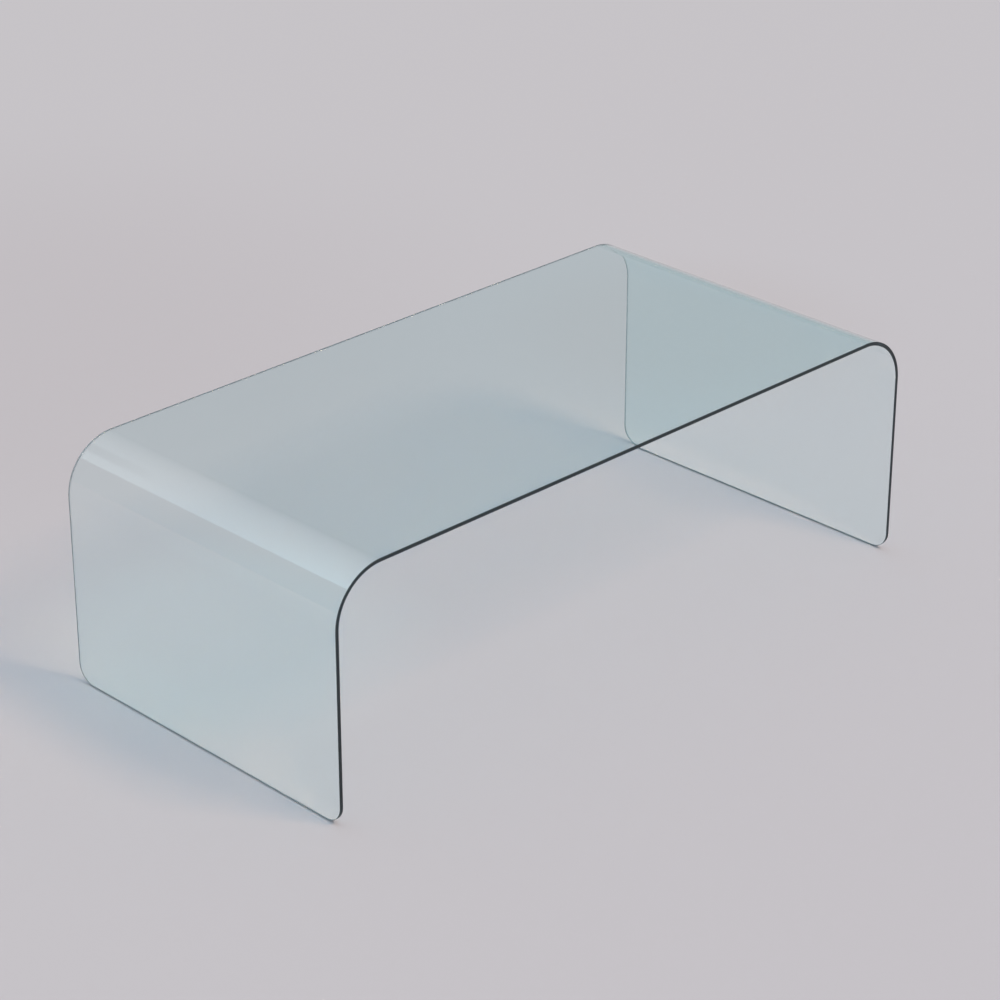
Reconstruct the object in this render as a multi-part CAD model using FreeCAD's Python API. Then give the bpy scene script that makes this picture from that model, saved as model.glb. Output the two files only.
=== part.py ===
import FreeCAD, Part
import math
import os

# Waterfall coffee table: one sheet of glass bent down at both ends, standing on
# four clear glides that are stuck under the feet of its legs. Millimetres, +Z up,
# X along the table, Y across it. The origin is on the floor under the centre.

# Bent glass sheet
table_length = 1200.0
table_width = 584.0
glass_height = 390.0
glass_thickness = 6.0
bend_radius = 85.0
leg_corner_radius = 30.0
edge_arris = 0.6

# Floor glides, long narrow pads under the cut foot of each leg
glide_length = 40.0
glide_height = 0.8
glide_rim_radius = 0.3
glide_foot_margin = 0.4
glide_corner_distance = 30.0

# Adhesive film between a glide and the glass
film_thickness = 0.2
film_setback = 0.2

# Levels and places worked out from the sizes above
foot_level = glide_height + film_thickness
top_level = foot_level + glass_height
bend_level = top_level - bend_radius
half_length = table_length / 2
half_width = table_width / 2
inner_bend_radius = bend_radius - glass_thickness
leg_middle = half_length - glass_thickness / 2
glide_width = glass_thickness - 2 * edge_arris - 2 * glide_foot_margin
glide_middle = half_width - leg_corner_radius - glide_corner_distance - glide_length / 2

DIAGONAL_SHARE = math.sqrt(0.5)
UP = FreeCAD.Vector(0, 0, 1)
ACROSS = FreeCAD.Vector(0, 1, 0)


def bend_arc(side, radius):
    """Quarter circle from the top of a leg to the end of the flat top."""
    centre_x = side * (half_length - bend_radius)
    leg_end = FreeCAD.Vector(centre_x + side * radius, -half_width, bend_level)
    middle = FreeCAD.Vector(
        centre_x + side * radius * DIAGONAL_SHARE,
        -half_width,
        bend_level + radius * DIAGONAL_SHARE,
    )
    top_end = FreeCAD.Vector(centre_x, -half_width, bend_level + radius)
    return Part.Arc(leg_end, middle, top_end).toShape()


def face_line(radius, face_x):
    """Foot, bend, top, bend and foot of one face of the sheet, with its two foot points."""
    top_z = bend_level + radius
    bend_x = half_length - bend_radius
    left_foot = FreeCAD.Vector(-face_x, -half_width, foot_level)
    right_foot = FreeCAD.Vector(face_x, -half_width, foot_level)
    edges = [
        Part.makeLine(left_foot, FreeCAD.Vector(-face_x, -half_width, bend_level)),
        bend_arc(-1, radius),
        Part.makeLine(
            FreeCAD.Vector(-bend_x, -half_width, top_z),
            FreeCAD.Vector(bend_x, -half_width, top_z),
        ),
        bend_arc(1, radius),
        Part.makeLine(FreeCAD.Vector(face_x, -half_width, bend_level), right_foot),
    ]
    return edges, left_foot, right_foot


def is_leg_corner(edge):
    """True for the short edges through the thickness at the lower corners of the legs."""
    box = edge.BoundBox
    crosses_sheet = box.YLength + box.ZLength < box.XLength
    at_foot = box.ZMax < foot_level + edge_arris
    return crosses_sheet and at_foot


def is_face_rim(edge, cut_faces):
    """True for an edge that one face of the sheet shares with the cut edge of the sheet."""
    return sum(1 for face in cut_faces if any(edge.isSame(own) for own in face.Edges)) == 1


def is_cut_face(face):
    """True for a face of the sheet's cut edge, which is as wide as the glass is thick."""
    centre = face.CenterOfMass
    normal = face.normalAt(*face.Surface.parameter(centre))
    looks_sideways = abs(normal.y) > DIAGONAL_SHARE / 2
    looks_down = normal.z < -DIAGONAL_SHARE / 2 and centre.z < foot_level + leg_corner_radius
    return looks_sideways or looks_down


def make_glass_sheet():
    """The bent sheet, with its leg corners rounded and a ground arris along both faces."""
    outer_edges, outer_left, outer_right = face_line(bend_radius, half_length)
    inner_edges, inner_left, inner_right = face_line(
        inner_bend_radius, half_length - glass_thickness
    )
    feet = [Part.makeLine(outer_left, inner_left), Part.makeLine(outer_right, inner_right)]
    profile = Part.Wire(Part.__sortEdges__(outer_edges + inner_edges + feet))
    sheet = Part.Face(profile).extrude(ACROSS * table_width)
    corners = [edge for edge in sheet.Edges if is_leg_corner(edge)]
    sheet = sheet.makeFillet(leg_corner_radius, corners)
    cut_faces = [face for face in sheet.Faces if is_cut_face(face)]
    rims = [edge for edge in sheet.Edges if is_face_rim(edge, cut_faces)]
    return sheet.makeChamfer(edge_arris, rims)


def long_pad(length, width, height, base_z):
    """Pad with two straight sides and two half-round ends, its middle over the origin."""
    radius = width / 2
    straight = length / 2 - radius
    corners = [
        FreeCAD.Vector(-radius, -straight, base_z),
        FreeCAD.Vector(-radius, straight, base_z),
        FreeCAD.Vector(radius, straight, base_z),
        FreeCAD.Vector(radius, -straight, base_z),
    ]
    back_end = FreeCAD.Vector(0, length / 2, base_z)
    front_end = FreeCAD.Vector(0, -length / 2, base_z)
    outline = Part.Wire([
        Part.makeLine(corners[0], corners[1]),
        Part.Arc(corners[1], back_end, corners[2]).toShape(),
        Part.makeLine(corners[2], corners[3]),
        Part.Arc(corners[3], front_end, corners[0]).toShape(),
    ])
    return Part.Face(outline).extrude(UP * height)


def make_glide():
    """Clear pad that stands on the floor, with its lower rim rounded."""
    pad = long_pad(glide_length, glide_width, glide_height, 0)
    rim = [edge for edge in pad.Edges if edge.BoundBox.ZMax < glide_height / 2]
    return pad.makeFillet(glide_rim_radius, rim)


def make_film():
    """Adhesive film on top of a glide, cut back a little from its outline."""
    length = glide_length - 2 * film_setback
    width = glide_width - 2 * film_setback
    return long_pad(length, width, film_thickness, glide_height)


def main():
    """Write the sheet, and a glide with its film under both ends of each foot."""
    os.makedirs("parts", exist_ok=True)
    make_glass_sheet().exportStep("parts/glass_sheet.step")
    for end, end_side in (("left", -1), ("right", 1)):
        for face, face_side in (("front", -1), ("back", 1)):
            place = FreeCAD.Vector(end_side * leg_middle, face_side * glide_middle, 0)
            make_glide().translated(place).exportStep(f"parts/glide_{face}_{end}.step")
            make_film().translated(place).exportStep(f"parts/glide_film_{face}_{end}.step")


main()
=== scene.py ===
"""Waterfall coffee table: a bent sheet of pale aqua glass on clear floor glides.

The sheet is modelled with finer bends than its solid and with a ground arris along both faces.
The glides and their adhesive films get moulded rims. A plain studio with a pale floor lights
them, and the camera stands where the photograph was taken. Lengths are in metres.
"""
import logging
import math
from collections.abc import Callable
from dataclasses import dataclass
from enum import Enum

import bmesh
import bpy
from mathutils import Matrix, Vector


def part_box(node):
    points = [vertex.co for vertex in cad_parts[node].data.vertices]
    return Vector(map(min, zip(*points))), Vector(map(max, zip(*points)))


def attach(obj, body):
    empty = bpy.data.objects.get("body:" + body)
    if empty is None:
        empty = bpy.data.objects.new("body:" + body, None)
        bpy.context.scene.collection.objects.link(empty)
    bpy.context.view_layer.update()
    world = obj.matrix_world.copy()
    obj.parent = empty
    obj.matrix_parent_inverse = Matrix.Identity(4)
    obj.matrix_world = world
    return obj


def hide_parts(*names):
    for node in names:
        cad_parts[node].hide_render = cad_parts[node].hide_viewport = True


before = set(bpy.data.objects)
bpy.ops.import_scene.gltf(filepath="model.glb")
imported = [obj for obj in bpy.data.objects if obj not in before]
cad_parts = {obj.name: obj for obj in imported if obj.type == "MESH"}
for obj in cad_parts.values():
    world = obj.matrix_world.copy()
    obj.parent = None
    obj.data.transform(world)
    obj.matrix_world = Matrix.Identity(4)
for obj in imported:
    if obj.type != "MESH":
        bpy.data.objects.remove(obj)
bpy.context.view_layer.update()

log = logging.getLogger("waterfall_coffee_table")

BODY = "root"
GLASS_NODE = "glass_sheet"
GLIDE_NODE = "glide"
FILM_NODE = "glide_film"

# An edge is sharp where its faces turn by more than the first angle, and shaded smooth below
# the second. Points merge within this share of the smallest rounding beside them.
SHARP_ANGLE = math.radians(60.0)
SMOOTH_ANGLE = math.radians(35.0)
MERGE_SHARE = 0.1

# A count of bounces is tested against this, between none and one.
HALF_BOUNCE = 0.5

# A span holds where a change starts and where it ends. A feed is what an input socket takes.
Colour = tuple[float, float, float]
Place = tuple[float, float, float]
Span = tuple[float, float]
Feed = float | tuple[float, ...] | bpy.types.NodeSocket


class End(Enum):
    """The two ends of the table, as its nodes are named."""

    LEFT = "left"
    RIGHT = "right"


class Face(Enum):
    """The two long sides of the table, as its nodes are named."""

    FRONT = "front"
    BACK = "back"


class Finish(Enum):
    """The sheet's own finishes, in the order of its mesh."""

    FACE = 0
    CUT_EDGE = 1


class Slot(Enum):
    """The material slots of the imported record."""

    GLASS = "glass"
    GLIDE = "glide"
    FILM = "film"


def start_alone() -> None:
    """Deselect everything, so that an operator meets only the primitive that comes next."""
    bpy.ops.object.select_all(action="DESELECT")


def pick_edges(piece: bpy.types.Object, wanted: Callable[[bmesh.types.BMEdge], bool]) -> None:
    """Select the edges that pass a test, and nothing else, on a piece in edit mode.

    Args:
        piece: The mesh object in edit mode.
        wanted: The test, given one edge.
    """
    bpy.ops.mesh.select_mode(type="EDGE")
    bpy.ops.mesh.select_all(action="DESELECT")
    shape = bmesh.from_edit_mesh(piece.data)
    for edge in filter(wanted, shape.edges):
        edge.select_set(True)
    shape.select_flush_mode()
    bmesh.update_edit_mesh(piece.data)


def is_sharp(edge: bmesh.types.BMEdge) -> bool:
    """Tell whether two faces meet at an edge in a sharp turn."""
    return edge.calc_face_angle(0.0) > SHARP_ANGLE


def place_piece(piece: bpy.types.Object, node: str) -> None:
    """Let a dressed piece stand for its solid on the table's one body.

    Args:
        piece: The finished mesh object.
        node: The solid that it stands for.
    """
    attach(piece, BODY)
    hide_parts(node)


class NodeBoard:
    """A shader node tree, with short ways to add and join nodes."""

    def __init__(self, owner: bpy.types.Material | bpy.types.World, output: str) -> None:
        """Empty the owner's node tree and add its output node.

        Args:
            owner: The material or world that has the tree.
            output: The output node's type.
        """
        owner.use_nodes = True
        self.tree = owner.node_tree
        self.tree.nodes.clear()
        self.output = self.add(output)

    def feed(self, socket: bpy.types.NodeSocket, value: Feed) -> None:
        """Link a socket to another one, or set its value.

        Args:
            socket: The input socket.
            value: The output socket that feeds it, or the value that it takes.
        """
        if isinstance(value, bpy.types.NodeSocket):
            self.tree.links.new(value, socket)
        else:
            socket.default_value = value

    def show(self, shader: bpy.types.NodeSocket) -> None:
        """Link a shader to the tree's output."""
        self.feed(self.output.inputs["Surface"], shader)

    def add(self, kind: str, **values: Feed) -> bpy.types.Node:
        """Add a node and feed its input sockets by name.

        Args:
            kind: The node's type.
            **values: What feeds each socket, with underscores for the spaces in its name.

        Returns:
            The new node.
        """
        node = self.tree.nodes.new(kind)
        for socket, value in values.items():
            self.feed(node.inputs[socket.replace("_", " ")], value)
        return node

    def place(self) -> bpy.types.NodeSocket:
        """Give the place of each point in the table's frame."""
        return self.add("ShaderNodeTexCoord").outputs["Object"]

    def work_out(self, kind: str, operation: str, terms: tuple[Feed, ...]) -> bpy.types.Node:
        """Add a node that works something out from its terms.

        Args:
            kind: The node's type.
            operation: What it does with the terms.
            terms: What feeds its input sockets, in order.

        Returns:
            The new node.
        """
        node = self.add(kind)
        node.operation = operation
        for socket, term in zip(node.inputs, terms):
            self.feed(socket, term)
        return node

    def maths(self, operation: str, *terms: Feed) -> bpy.types.NodeSocket:
        """Work out a number from one, two or three others.

        Args:
            operation: The Math node's operation.
            *terms: Its terms, in order.

        Returns:
            The socket that holds the result.
        """
        return self.work_out("ShaderNodeMath", operation, terms).outputs["Value"]

    def vectors(self, operation: str, *terms: Feed) -> bpy.types.NodeSocket:
        """Work out a vector or a colour, or the dot product or distance of two vectors.

        Args:
            operation: The Vector Math node's operation.
            *terms: Its terms, in order.

        Returns:
            The socket that holds the result.
        """
        node = self.work_out("ShaderNodeVectorMath", operation, terms)
        return node.outputs["Value" if operation in ("DOT_PRODUCT", "DISTANCE") else "Vector"]

    def between(self, share: Feed, span: Span) -> bpy.types.NodeSocket:
        """Go evenly from one number to another while a share goes from 0 to 1.

        Args:
            share: The share.
            span: The number at 0 and the number at 1.

        Returns:
            The socket that holds the result.
        """
        start, end = span
        return self.maths("MULTIPLY_ADD", share, end - start, start)

    def rise(self, value: Feed, span: Span) -> bpy.types.NodeSocket:
        """Rise smoothly from 0 to 1 while a value goes from one number to another.

        Args:
            value: The value.
            span: Where it gives 0 and where it gives 1, which may be the lower one.

        Returns:
            The socket that holds the result.
        """
        start, end = span
        node = self.add("ShaderNodeMapRange", Value=value, From_Min=start, From_Max=end)
        node.interpolation_type = "SMOOTHSTEP"
        return node.outputs["Result"]

    def noise(self, where: Feed, per_metre: float, detail: float) -> bpy.types.NodeSocket:
        """Spread soft cloudy noise around a half.

        Args:
            where: The place of each point.
            per_metre: How many clouds fit in a metre.
            detail: How many times a cloud breaks up into smaller ones.

        Returns:
            The socket that holds the noise.
        """
        node = self.add("ShaderNodeTexNoise", Vector=where, Scale=per_metre, Detail=detail)
        return node.outputs["Fac"]


@dataclass(frozen=True)
class TintedGlass:
    """Clear float glass with a pale aqua tint, bent over a mould.

    Attributes:
        tint: What a sheet of the glass lets through of red, green and blue.
        refraction: Index of refraction.
        wave_height: Height of the slow waves that bending leaves in the faces.
        waves_per_metre: How many such waves fit in a metre.
        wave_detail: How far the waves break up.
        marks_per_metre: How many faint wiping marks fit in a metre.
        mark_detail: How far the marks break up.
        mark_span: Levels of the marks' noise at their rim and at their heart.
        haze: Roughness at the heart of a mark.
    """

    tint: Colour = (0.9, 0.991, 0.998)
    refraction: float = 1.52
    wave_height: float = 0.00005
    waves_per_metre: float = 5.0
    wave_detail: float = 1.0
    marks_per_metre: float = 7.0
    mark_detail: float = 5.0
    mark_span: Span = (0.6, 0.85)
    haze: float = 0.03

    def material(self) -> bpy.types.Material:
        """Make the material: clear faces with slow waves and a few faint wiping marks.

        Returns:
            The new material.
        """
        glass = bpy.data.materials.new("aqua_glass")
        board = NodeBoard(glass, "ShaderNodeOutputMaterial")
        where = board.place()
        smears = board.noise(where, self.marks_per_metre, self.mark_detail)
        marks = board.rise(smears, self.mark_span)
        waves = board.add(
            "ShaderNodeBump",
            Distance=self.wave_height,
            Height=board.noise(where, self.waves_per_metre, self.wave_detail),
        )
        skin = board.add(
            "ShaderNodeBsdfPrincipled",
            Base_Color=(*self.tint, 1.0),
            Roughness=board.maths("MULTIPLY", marks, self.haze),
            IOR=self.refraction,
            Transmission_Weight=1.0,
            Normal=waves.outputs["Normal"],
        )
        board.show(skin.outputs["BSDF"])
        return glass


@dataclass(frozen=True)
class PolishedEdge:
    """The sheet's cut edge: painted dark slate shade that stands in for the depth of glass behind it,
    under a real polish.

    Attributes:
        colour: Its darkest painted shade, seen from outside, for the depth of glass behind it.
        cloud: What random clouds add to that painted shade.
        clouds_per_metre: How many clouds fit in a metre.
        cloud_detail: How far the clouds break up.
        painted_inner_light: Painted light that it gains where it is seen from inside the glass, where
            little depth lies before it.
        roughness: Least and greatest roughness of its polish.
        grain_per_metre: How many polishing grains fit in a metre.
        grain_detail: How far the grain breaks up.
        grain_height: Height of the grain.
        clear_share: Share of the light that still passes the edge.
        refraction: Index of refraction of the glass behind it.
    """

    colour: Colour = (0.025, 0.07, 0.095)
    cloud: Colour = (0.015, 0.025, 0.03)
    clouds_per_metre: float = 30.0
    cloud_detail: float = 3.0
    painted_inner_light: Colour = (0.66, 0.69, 0.71)
    roughness: Span = (0.3, 0.46)
    grain_per_metre: float = 900.0
    grain_detail: float = 2.0
    grain_height: float = 0.00002
    clear_share: float = 0.86
    refraction: float = 1.52

    def material(self) -> bpy.types.Material:
        """Make the material: painted dark shade for the glass's depth, painted paler from inside,
        under a finely grained polish.

        Returns:
            The new material.
        """
        edge = bpy.data.materials.new("polished_edge")
        board = NodeBoard(edge, "ShaderNodeOutputMaterial")
        where = board.place()
        grain = board.noise(where, self.grain_per_metre, self.grain_detail)
        depth = board.noise(where, self.clouds_per_metre, self.cloud_detail)
        relief = board.add("ShaderNodeBump", Distance=self.grain_height, Height=grain)
        # Painted shade: the dark slate colour and its clouds stand in for the depth of glass behind
        # the edge.
        painted_depth_shade = board.vectors("MULTIPLY_ADD", self.cloud, depth, self.colour)
        # Painted light: where the edge is seen from inside the glass, its colour is painted paler.
        inside = board.add("ShaderNodeNewGeometry").outputs["Backfacing"]
        skin = board.add(
            "ShaderNodeBsdfPrincipled",
            Base_Color=board.vectors("MULTIPLY_ADD", self.painted_inner_light, inside, painted_depth_shade),
            Roughness=board.between(grain, self.roughness),
            IOR=self.refraction,
            Transmission_Weight=self.clear_share,
            Normal=relief.outputs["Normal"],
        )
        board.show(skin.outputs["BSDF"])
        return edge


@dataclass(frozen=True)
class ClearPlastic:
    """A soft clear plastic, for the glides and their adhesive films.

    Attributes:
        name: Name of the finish.
        colour: Its faint body colour.
        roughness: Least and greatest roughness of its skin.
        refraction: Index of refraction.
        grain_per_metre: How many grains of its skin fit in a metre.
        grain_height: Height of the grain.
        grain_detail: How far the grain breaks up.
        cloud: What its cloudy depth adds to the body colour.
        grains_per_cloud: How many grains lie along one cloud.
        cloud_detail: How far the clouds break up.
        clear_share: Share of the light that passes through it.
    """

    name: str
    colour: Colour
    roughness: Span
    refraction: float
    grain_per_metre: float
    grain_height: float
    grain_detail: float = 3.0
    cloud: Colour = (0.06, 0.05, 0.04)
    grains_per_cloud: float = 8.0
    cloud_detail: float = 2.0
    clear_share: float = 0.9

    def material(self) -> bpy.types.Material:
        """Make the material: a see-through body under a finely grained skin.

        Returns:
            The new material.
        """
        plastic = bpy.data.materials.new(self.name)
        board = NodeBoard(plastic, "ShaderNodeOutputMaterial")
        where = board.place()
        grain = board.noise(where, self.grain_per_metre, self.grain_detail)
        depth = board.noise(where, self.grain_per_metre / self.grains_per_cloud, self.cloud_detail)
        relief = board.add("ShaderNodeBump", Distance=self.grain_height, Height=grain)
        skin = board.add(
            "ShaderNodeBsdfPrincipled",
            Base_Color=board.vectors("MULTIPLY_ADD", depth, self.cloud, self.colour),
            Roughness=board.between(grain, self.roughness),
            IOR=self.refraction,
            Transmission_Weight=self.clear_share,
            Normal=relief.outputs["Normal"],
        )
        board.show(skin.outputs["BSDF"])
        return plastic


CLEAR_URETHANE = ClearPlastic(
    name="clear_urethane",
    colour=(0.86, 0.88, 0.88),
    roughness=(0.2, 0.4),
    refraction=1.49,
    grain_per_metre=4000.0,
    grain_height=0.00001,
)
CLEAR_ADHESIVE = ClearPlastic(
    name="clear_adhesive",
    colour=(0.88, 0.9, 0.89),
    roughness=(0.05, 0.2),
    refraction=1.47,
    grain_per_metre=2500.0,
    grain_height=0.000005,
)


@dataclass
class BentSheet:
    """The glass sheet: a leg, a bend, the flat top, a bend and a leg.

    Attributes:
        low: Lowest corner of the sheet.
        high: Highest corner of the sheet.
        thickness: Thickness of the glass.
        bend_radius: Outer radius of the two bends.
        corner_radius: Radius of the lower corners of the legs.
        arris: Width of the ground arris along both faces.
        bend_steps: Facets of a bend.
        corner_steps: Facets of a lower corner.
        arris_steps: Facets of the arris.
    """

    low: Vector
    high: Vector
    thickness: float = 0.006
    bend_radius: float = 0.085
    corner_radius: float = 0.030
    arris: float = 0.0006
    bend_steps: int = 48
    corner_steps: int = 14
    arris_steps: int = 3

    @property
    def bend_level(self) -> float:
        """Height at which the legs end and the bends start."""
        return self.high.z - self.bend_radius

    def build(self) -> bpy.types.Object:
        """Model the sheet.

        Returns:
            The finished mesh object.
        """
        sheet = self.stand_leg()
        self.fold_over(sheet)
        self.round_corners(sheet)
        self.thicken(sheet)
        self.grind_arris(sheet)
        self.smooth(sheet)
        return sheet

    def stand_leg(self) -> bpy.types.Object:
        """Stand the left leg's outer face as a plane, from its foot up to its bend.

        Returns:
            The new object, with its place in its mesh.
        """
        start_alone()
        bpy.ops.mesh.primitive_plane_add(
            size=1.0,
            location=(self.low.x, 0.0, (self.low.z + self.bend_level) / 2),
            rotation=(0.0, -math.pi / 2, 0.0),
        )
        sheet = bpy.context.object
        sheet.name = "bent_glass_sheet"
        sheet.scale = (self.bend_level - self.low.z, self.high.y - self.low.y, 1.0)
        bpy.ops.object.transform_apply(location=True, rotation=True, scale=True)
        for _ in Finish:
            sheet.data.materials.append(None)
        return sheet

    def fold_over(self, sheet: bpy.types.Object) -> None:
        """Carry the leg's upper edge round both bends and down to the right foot.

        Args:
            sheet: The leg to carry on from.
        """
        flat_end = self.high.x - self.bend_radius
        drop = self.low.z - self.bend_level
        near_top = self.bend_level - self.arris
        bpy.ops.object.mode_set(mode="EDIT")
        pick_edges(sheet, lambda edge: all(point.co.z > near_top for point in edge.verts))
        self.bend(-flat_end)
        bpy.ops.mesh.extrude_region_move(TRANSFORM_OT_translate={"value": (2 * flat_end, 0.0, 0.0)})
        self.bend(flat_end)
        bpy.ops.mesh.extrude_region_move(TRANSFORM_OT_translate={"value": (0.0, 0.0, drop)})
        bpy.ops.mesh.select_all(action="SELECT")
        bpy.ops.mesh.remove_doubles(threshold=self.arris * MERGE_SHARE)
        bpy.ops.mesh.normals_make_consistent(inside=False)
        bpy.ops.object.mode_set(mode="OBJECT")

    def bend(self, axis_x: float) -> None:
        """Spin the selected edge through a quarter turn about a bend's axis.

        Args:
            axis_x: Where the axis lies along the table.
        """
        bpy.ops.mesh.spin(
            steps=self.bend_steps,
            angle=math.pi / 2,
            center=(axis_x, 0.0, self.bend_level),
            axis=(0.0, -1.0, 0.0),
        )

    def round_corners(self, sheet: bpy.types.Object) -> None:
        """Round the lower corners of both legs.

        Args:
            sheet: The folded outer face.
        """
        near_foot = self.low.z + self.arris
        bpy.ops.object.mode_set(mode="EDIT")
        pick_edges(sheet, lambda edge: all(point.co.z < near_foot for point in edge.verts))
        bpy.ops.mesh.bevel(
            offset=self.corner_radius,
            segments=self.corner_steps,
            affect="VERTICES",
        )
        bpy.ops.object.mode_set(mode="OBJECT")

    def thicken(self, sheet: bpy.types.Object) -> None:
        """Give the outer face its thickness of glass, inwards.

        Args:
            sheet: The outer face with its corners rounded.
        """
        wall = sheet.modifiers.new("glass_thickness", "SOLIDIFY")
        wall.thickness = self.thickness
        wall.offset = -1.0
        wall.use_even_offset = True
        wall.use_quality_normals = True
        wall.material_offset_rim = Finish.CUT_EDGE.value
        bpy.ops.object.modifier_apply(modifier=wall.name)

    def grind_arris(self, sheet: bpy.types.Object) -> None:
        """Grind a narrow arris where both faces meet the cut edge.

        Args:
            sheet: The sheet with its full thickness.
        """
        bpy.ops.object.mode_set(mode="EDIT")
        pick_edges(sheet, is_sharp)
        bpy.ops.mesh.bevel(
            offset=self.arris,
            segments=self.arris_steps,
            affect="EDGES",
            material=Finish.CUT_EDGE.value,
        )
        bpy.ops.object.mode_set(mode="OBJECT")

    def smooth(self, sheet: bpy.types.Object) -> None:
        """Shade the bends smoothly, and keep the flats flat right up to them.

        Args:
            sheet: The sheet with its arris.
        """
        bpy.ops.object.shade_smooth_by_angle(angle=SMOOTH_ANGLE)
        flats = sheet.modifiers.new("flat_faces", "WEIGHTED_NORMAL")
        flats.keep_sharp = True
        bpy.ops.object.modifier_apply(modifier=flats.name)

    def dress(
        self,
        sheet: bpy.types.Object,
        glass: TintedGlass,
        edge: PolishedEdge,
    ) -> list[bpy.types.Object]:
        """Give the sheet's faces their glass and its cut edge its polish.

        Args:
            sheet: The finished mesh object.
            glass: What the faces are made of.
            edge: How the cut edge is polished.

        Returns:
            The dressed sheet, as the one piece made here.
        """
        sheet.data.materials[Finish.FACE.value] = glass.material()
        sheet.data.materials[Finish.CUT_EDGE.value] = edge.material()
        place_piece(sheet, GLASS_NODE)
        return [sheet]


@dataclass
class StuckPad:
    """A long pad with half-round ends, stuck under both ends of each foot of the sheet.

    Attributes:
        name: What its copies are called, before the node that they stand for.
        node: What its nodes are called, before the corner that they stand at.
        rim: Radius of its moulded rims.
        headroom: How much lower it is than its node, so that it doesn't share a face with the glass.
        rim_steps: Facets of a rim.
        end_steps: Facets of a quarter of a round end.
    """

    name: str
    node: str
    rim: float
    headroom: float = 0.0
    rim_steps: int = 3
    end_steps: int = 10

    def node_at(self, end: End, face: Face) -> str:
        """Name the node at one corner of the table."""
        return f"{self.node}_{face.value}_{end.value}"

    def build(self) -> bpy.types.Object:
        """Model the pad with its middle over the origin and its underside at zero.

        Returns:
            The finished mesh object.
        """
        low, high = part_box(self.node_at(End.LEFT, Face.FRONT))
        width, length, height = high - low
        start_alone()
        bpy.ops.mesh.primitive_plane_add(size=1.0)
        pad = bpy.context.object
        pad.name = self.name
        pad.scale = (width, length, 1.0)
        bpy.ops.object.transform_apply(location=True, rotation=True, scale=True)
        bpy.ops.object.mode_set(mode="EDIT")
        bpy.ops.mesh.select_all(action="SELECT")
        bpy.ops.mesh.bevel(offset=width / 2, segments=self.end_steps, affect="VERTICES")
        bpy.ops.mesh.select_all(action="SELECT")
        bpy.ops.mesh.remove_doubles(threshold=self.rim * MERGE_SHARE)
        up = (0.0, 0.0, height - self.headroom)
        bpy.ops.mesh.extrude_region_move(TRANSFORM_OT_translate={"value": up})
        bpy.ops.mesh.select_all(action="SELECT")
        bpy.ops.mesh.normals_make_consistent(inside=False)
        pick_edges(pad, is_sharp)
        bpy.ops.mesh.bevel(offset=self.rim, segments=self.rim_steps, affect="EDGES")
        bpy.ops.object.mode_set(mode="OBJECT")
        bpy.ops.object.shade_smooth_by_angle(angle=SMOOTH_ANGLE)
        return pad

    def dress(
        self,
        pad: bpy.types.Object,
        plastic: ClearPlastic,
        slot: Slot,
    ) -> list[bpy.types.Object]:
        """Give the pad its plastic, and put a copy of it in the place of each of its nodes.

        Args:
            pad: The finished pad over the origin, which is taken away at the end.
            plastic: What the pad is made of.
            slot: The record's material slot; not used.

        Returns:
            The dressed copies.
        """
        pad.data.materials.append(plastic.material())
        copies = []
        for end in End:
            for face in Face:
                node = self.node_at(end, face)
                copy = self.copy_to(pad, node)
                place_piece(copy, node)
                copies.append(copy)
        bpy.data.objects.remove(pad)
        return copies

    def copy_to(self, pad: bpy.types.Object, node: str) -> bpy.types.Object:
        """Copy the pad to where a node of the frame lies.

        Args:
            pad: The pad to copy, over the origin.
            node: The node whose place the copy takes.

        Returns:
            The copy, with its place in its own mesh.
        """
        low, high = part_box(node)
        middle = (low + high) / 2
        copy = bpy.data.objects.new(f"{self.name}_{node}", pad.data.copy())
        copy.data.transform(Matrix.Translation((middle.x, middle.y, low.z)))
        bpy.context.scene.collection.objects.link(copy)
        return copy


@dataclass(frozen=True)
class KeyLamp:
    """The warm lamp at the front right, a square soft box.

    Attributes:
        place: Where it hangs.
        width: Width of the soft box.
        power: Its power in watts.
        colour: Its warm colour.
    """

    place: Place = (0.96, -3.67, 4.68)
    width: float = 1.43
    power: float = 158.0
    colour: Colour = (1.0, 0.675, 0.43)

    def hang(self, target: Vector) -> None:
        """Hang the lamp so that it faces a point of the table.

        Args:
            target: The point that it faces.
        """
        light = bpy.data.lights.new("key_lamp", "AREA")
        light.size = self.width
        light.energy = self.power
        light.color = self.colour
        lamp = bpy.data.objects.new("key_lamp", light)
        lamp.location = self.place
        lamp.rotation_euler = (target - lamp.location).to_track_quat("-Z", "Y").to_euler()
        lamp.visible_camera = False
        bpy.context.scene.collection.objects.link(lamp)


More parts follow.
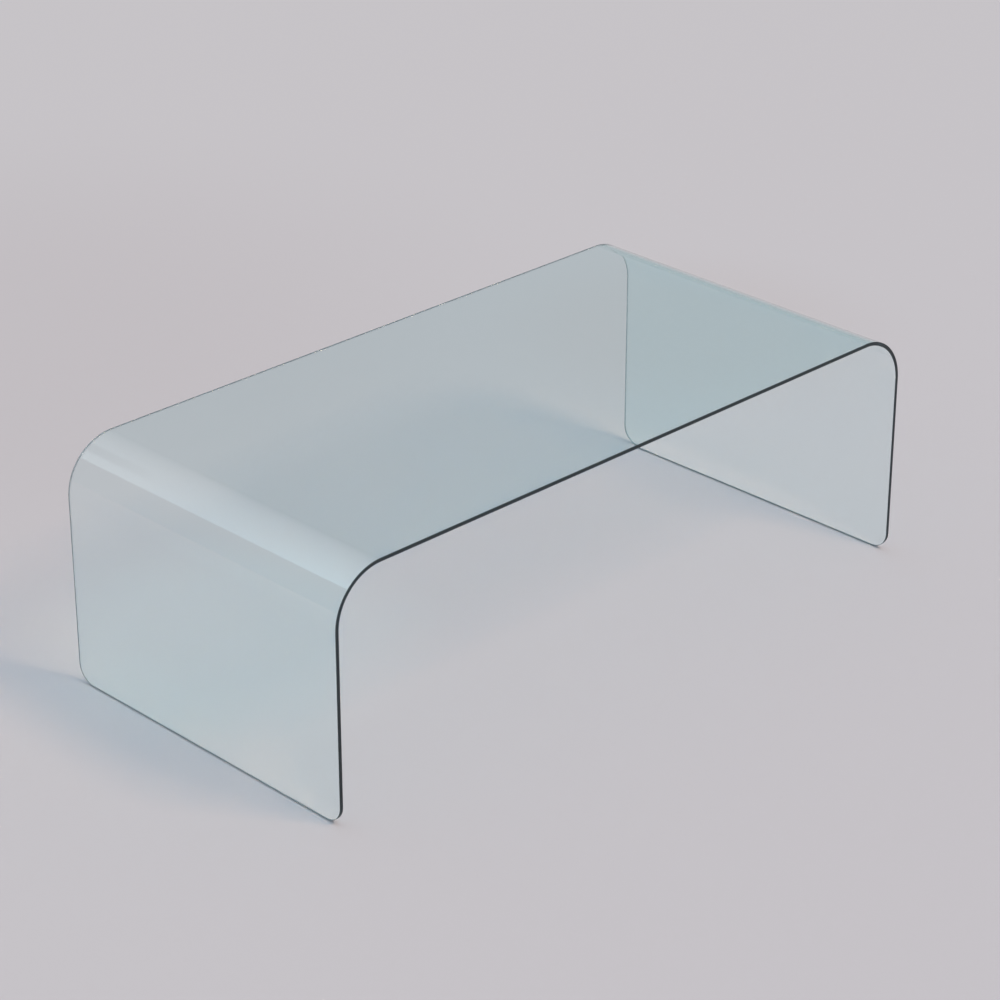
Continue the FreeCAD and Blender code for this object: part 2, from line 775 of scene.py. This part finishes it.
@dataclass(frozen=True)
class SoftSurroundings:
    """Even soft light from all round, with dim walls and a bright ceiling mirrored in the glass.

    A span lies along the X, Y or Z of a direction, which goes from -1 to 1. Its second number
    is where the thing that it bounds shows fully.

    Attributes:
        light: The even light.
        walls: What the glass mirrors of the walls.
        wall_span: Heights between which the foot of the walls gives way to the walls.
        ceiling: What it mirrors of the ceiling straight overhead, on top of the walls.
        ceiling_span: Heights between which the ceiling starts to show.
        ceiling_lean: Share by which the ceiling brightens towards the left.
        ceiling_edge: Angle above the left horizon where the ceiling ends, in degrees.
        edge_span: Distances past that end between which the ceiling and the walls start to show.
        front_share: Share by which the ceiling brightens from the back to the front.
        front_span: Where it starts to brighten and where it stops, along Y.
        beam_share: Share of its light that a dim beam at the back left takes away.
        beam_left: Left end of the beam, along X.
        beam_right: Right end of the beam, along X.
        beam_front: Front of the beam, along Y.
        horizon: What it mirrors of the floor's far end and the foot of the walls.
        backdrop: What the camera sees beyond the floor.
    """

    light: Colour = (0.675, 0.797, 0.882)
    walls: Colour = (0.275, 0.368, 0.4)
    wall_span: Span = (0.05, 0.35)
    ceiling: Colour = (0.52, 0.57, 0.59)
    ceiling_span: Span = (0.15, 0.42)
    ceiling_lean: float = 1.724
    ceiling_edge: float = 49.5
    edge_span: Span = (-0.02, 0.02)
    front_share: float = 0.35
    front_span: Span = (0.74, 0.64)
    beam_share: float = 0.6
    beam_left: Span = (-0.3, -0.2)
    beam_right: Span = (0.02, -0.08)
    beam_front: Span = (0.705, 0.728)
    horizon: Colour = (0.47, 0.505, 0.525)
    backdrop: Colour = (0.565, 0.539, 0.565)

    def surround(self) -> None:
        """Make the world: even light, what the glass mirrors and what the camera sees."""
        world = bpy.data.worlds.new("soft_surroundings")
        board = NodeBoard(world, "ShaderNodeOutputWorld")
        path = board.add("ShaderNodeLightPath").outputs
        before_floor = board.maths("LESS_THAN", path["Diffuse Depth"], HALF_BOUNCE)
        through_glass = board.maths("MULTIPLY", path["Is Transmission Ray"], before_floor)
        seen = board.maths("MAXIMUM", path["Is Camera Ray"], through_glass)
        mirrored_once = board.maths("GREATER_THAN", path["Glossy Depth"], HALF_BOUNCE)
        mirrored = board.maths("MULTIPLY", mirrored_once, before_floor)
        shown = board.add("ShaderNodeBackground", Color=(*self.light, 1.0)).outputs["Background"]
        for share, colour in ((seen, (*self.backdrop, 1.0)), (mirrored, self.mirrored(board))):
            sky = board.add("ShaderNodeBackground", Color=colour)
            mix = board.add("ShaderNodeMixShader", Fac=share)
            board.feed(mix.inputs[1], shown)
            board.feed(mix.inputs[2], sky.outputs["Background"])
            shown = mix.outputs["Shader"]
        board.show(shown)
        # The world looks different to each kind of ray, so no one map of its light is made.
        world.cycles.sampling_method = "NONE"
        bpy.context.scene.world = world

    def mirrored(self, board: NodeBoard) -> bpy.types.NodeSocket:
        """Add up the walls and the ceiling for each direction.

        Args:
            board: The world's node tree.

        Returns:
            The socket that holds their light.
        """
        direction = board.add("ShaderNodeTexCoord").outputs["Generated"]
        towards = board.add("ShaderNodeSeparateXYZ", Vector=direction).outputs
        ceiling = board.vectors("MULTIPLY", self.ceiling, self.ceiling_share(board, *towards))
        dimming = tuple(wall - pale for wall, pale in zip(self.walls, self.horizon))
        above_foot = board.rise(towards["Z"], self.wall_span)
        room = board.vectors("MULTIPLY_ADD", dimming, above_foot, ceiling)
        edge = math.radians(self.ceiling_edge)
        beyond = board.vectors("DOT_PRODUCT", direction, (math.sin(edge), 0.0, math.cos(edge)))
        return board.vectors("MULTIPLY_ADD", room, board.rise(beyond, self.edge_span), self.horizon)

    def ceiling_share(
        self,
        board: NodeBoard,
        right: bpy.types.NodeSocket,
        back: bpy.types.NodeSocket,
        up: bpy.types.NodeSocket,
    ) -> bpy.types.NodeSocket:
        """Work out how bright the ceiling is in each direction, as a share of straight overhead.

        Args:
            board: The world's node tree.
            right: How far the direction goes to the right.
            back: How far it goes to the back.
            up: How far it goes up.

        Returns:
            The socket that holds the share.
        """
        lean = board.maths("MULTIPLY_ADD", right, -self.ceiling_lean, 1.0)
        towards_front = board.rise(back, self.front_span)
        front = board.maths("MULTIPLY_ADD", towards_front, self.front_share, 1.0)
        past_left = board.rise(right, self.beam_left)
        before_right = board.rise(right, self.beam_right)
        across = board.maths("MULTIPLY", past_left, before_right)
        beam = board.maths("MULTIPLY", across, board.rise(back, self.beam_front))
        open_share = board.maths("MULTIPLY_ADD", beam, -self.beam_share, front)
        overhead = board.maths("MULTIPLY", open_share, board.rise(up, self.ceiling_span))
        return board.maths("MULTIPLY", board.maths("MAXIMUM", lean, 0.0), overhead)


@dataclass(frozen=True)
class PaintedShadingStretch:
    """A wide soft stretch of the floor painted a little paler (painted light) or dimmer (painted
    shade) than the rest.

    Attributes:
        place: Its middle.
        reach: Where it starts to show and where it shows fully, from its middle.
        gain: Share of each colour that painted light adds there, or that painted shade takes away if
            below zero.
    """

    place: Place
    reach: Span
    gain: Colour


@dataclass(frozen=True)
class PaleFloor:
    """A wide matt floor, painted so that it looks even under the key lamp, with painted light and
    shade in three soft stretches.

    Attributes:
        width: Width of the floor.
        shade: Colour of its paint at the origin.
        roughness: Roughness of its paint.
        lamp_share: Share of each colour of the light at the origin that the key lamp gives.
        painted_shade_behind: A stretch of painted shade on the floor behind the table.
        inside: A stretch of painted light inside the left leg, lightening the glass's shadow on the
            floor there.
        beyond: A stretch of painted shadow past the right leg.
    """

    width: float = 80.0
    shade: Colour = (0.56, 0.531, 0.557)
    roughness: float = 0.8
    lamp_share: Colour = (0.336, 0.234, 0.142)
    # Painted shade: the floor behind the table is painted dimmer.
    painted_shade_behind: PaintedShadingStretch = PaintedShadingStretch(
        place=(0.0, 1.45, 0.0),
        reach=(1.4, 0.3),
        gain=(-0.045, -0.06, -0.06),
    )
    # Painted light: the floor inside the left leg is painted paler, where the glass's shadow falls.
    inside: PaintedShadingStretch = PaintedShadingStretch(
        place=(-0.36, 0.24, 0.0),
        reach=(0.38, 0.18),
        gain=(0.045, 0.066, 0.056),
    )
    # Painted shadow: the floor past the right leg is painted dimmer.
    beyond: PaintedShadingStretch = PaintedShadingStretch(
        place=(1.05, 0.55, 0.0),
        reach=(0.45, 0.15),
        gain=(-0.025, -0.04, -0.05),
    )

    def lay(self, lamp: KeyLamp, target: Vector) -> None:
        """Lay the floor.

        Args:
            lamp: The lamp whose fading light the paint evens out.
            target: The point that the lamp faces.
        """
        start_alone()
        bpy.ops.mesh.primitive_plane_add(size=self.width)
        floor = bpy.context.object
        floor.name = "floor"
        paint = bpy.data.materials.new("pale_floor")
        board = NodeBoard(paint, "ShaderNodeOutputMaterial")
        where = board.place()
        light = self.lamplight(board, where, Vector(lamp.place), target)
        matt = board.add(
            "ShaderNodeBsdfPrincipled",
            Base_Color=board.vectors("DIVIDE", self.painted_shading(board, where), light),
            Roughness=self.roughness,
            Specular_IOR_Level=0.0,
        )
        board.show(matt.outputs["BSDF"])
        floor.data.materials.append(paint)

    def painted_shading(self, board: NodeBoard, where: bpy.types.NodeSocket) -> bpy.types.NodeSocket:
        """Work out how the floor is to look, with its stretches of painted light and shade.

        Args:
            board: The floor's node tree.
            where: The place of each point.

        Returns:
            The socket that holds the colour.
        """
        look = self.shade
        # Each stretch paints light into the floor's colour where its gain is above zero, and shade
        # where it is below.
        for stretch in (self.painted_shade_behind, self.inside, self.beyond):
            apart = board.vectors("DISTANCE", where, stretch.place)
            painted_light_change = tuple(shade * gain for shade, gain in zip(self.shade, stretch.gain))
            look = board.vectors("MULTIPLY_ADD", painted_light_change, board.rise(apart, stretch.reach), look)
        return look

    def lamplight(
        self,
        board: NodeBoard,
        where: bpy.types.NodeSocket,
        place: Vector,
        target: Vector,
    ) -> bpy.types.NodeSocket:
        """Work out the light on the floor, with the lamp's share fading by distance and both slants.

        Args:
            board: The floor's node tree.
            where: The place of each point.
            place: Where the lamp hangs.
            target: The point that it faces.

        Returns:
            The socket that holds the light, 1 at the origin.
        """
        axis = (place - target).normalized()
        to_lamp = board.vectors("SUBTRACT", tuple(place), where)
        slant = board.vectors("DOT_PRODUCT", to_lamp, tuple(axis / place.dot(axis)))
        apart = board.vectors("DOT_PRODUCT", to_lamp, to_lamp)
        near = board.maths("DIVIDE", place.length_squared, apart)
        near_squared = board.maths("MULTIPLY", near, near)
        fade = board.maths("MULTIPLY", near_squared, board.maths("MAXIMUM", slant, 0.0))
        fill_share = tuple(1.0 - share for share in self.lamp_share)
        return board.vectors("MULTIPLY_ADD", self.lamp_share, fade, fill_share)


@dataclass
class Studio:
    """A pale floor, soft light and the camera.

    Attributes:
        target: The middle of the table, which the lamp faces.
        aim: How far from that middle the camera looks.
        azimuth: Where the camera stands, in degrees from the front towards the right.
        elevation: How far the camera looks down, in degrees.
        distance: From the camera to the point that it looks at.
        lens_mm: Focal length on a sensor 36 mm wide.
    """

    target: Vector
    aim: Place = (0.0006, -0.0001, 0.0007)
    azimuth: float = -44.708
    elevation: float = 26.277
    distance: float = 4.8578
    lens_mm: float = 113.5

    def build(self) -> None:
        """Make the camera, the surroundings, the lamp and the floor, and keep mirrored light sharp."""
        lamp = KeyLamp()
        self.make_camera()
        SoftSurroundings().surround()
        lamp.hang(self.target)
        PaleFloor().lay(lamp, self.target)
        bpy.context.scene.cycles.blur_glossy = 0.0

    def make_camera(self) -> None:
        """Stand the camera where the photograph was taken from."""
        lens = bpy.data.cameras.new("camera")
        lens.lens = self.lens_mm
        camera = bpy.data.objects.new("camera", lens)
        turn = math.radians(self.azimuth)
        rise = math.radians(self.elevation)
        flat = math.cos(rise)
        out = Vector((math.sin(turn) * flat, -math.cos(turn) * flat, math.sin(rise)))
        camera.location = self.target + Vector(self.aim) + out * self.distance
        camera.rotation_euler = (-out).to_track_quat("-Z", "Y").to_euler()
        bpy.context.scene.collection.objects.link(camera)
        bpy.context.scene.camera = camera


def main() -> None:
    """Build the table and its studio in order."""
    logging.basicConfig(level=logging.INFO, format="%(name)s: %(message)s")
    log.info("the frame holds %d solids", len(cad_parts))
    bpy.context.scene.view_settings.view_transform = "Standard"
    low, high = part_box(GLASS_NODE)
    sheet = BentSheet(low, high)
    glide = StuckPad("glide_pad", GLIDE_NODE, rim=0.0003)
    film = StuckPad("adhesive", FILM_NODE, rim=0.00005, headroom=0.00002)
    pieces = [
        *sheet.dress(sheet.build(), TintedGlass(), PolishedEdge()),
        *glide.dress(glide.build(), CLEAR_URETHANE, Slot.GLIDE),
        *film.dress(film.build(), CLEAR_ADHESIVE, Slot.FILM),
    ]
    for piece in pieces:
        log.info("%s has %d faces", piece.name, len(piece.data.polygons))
    Studio(target=(low + high) / 2).build()


if __name__ == "__main__":
    main()
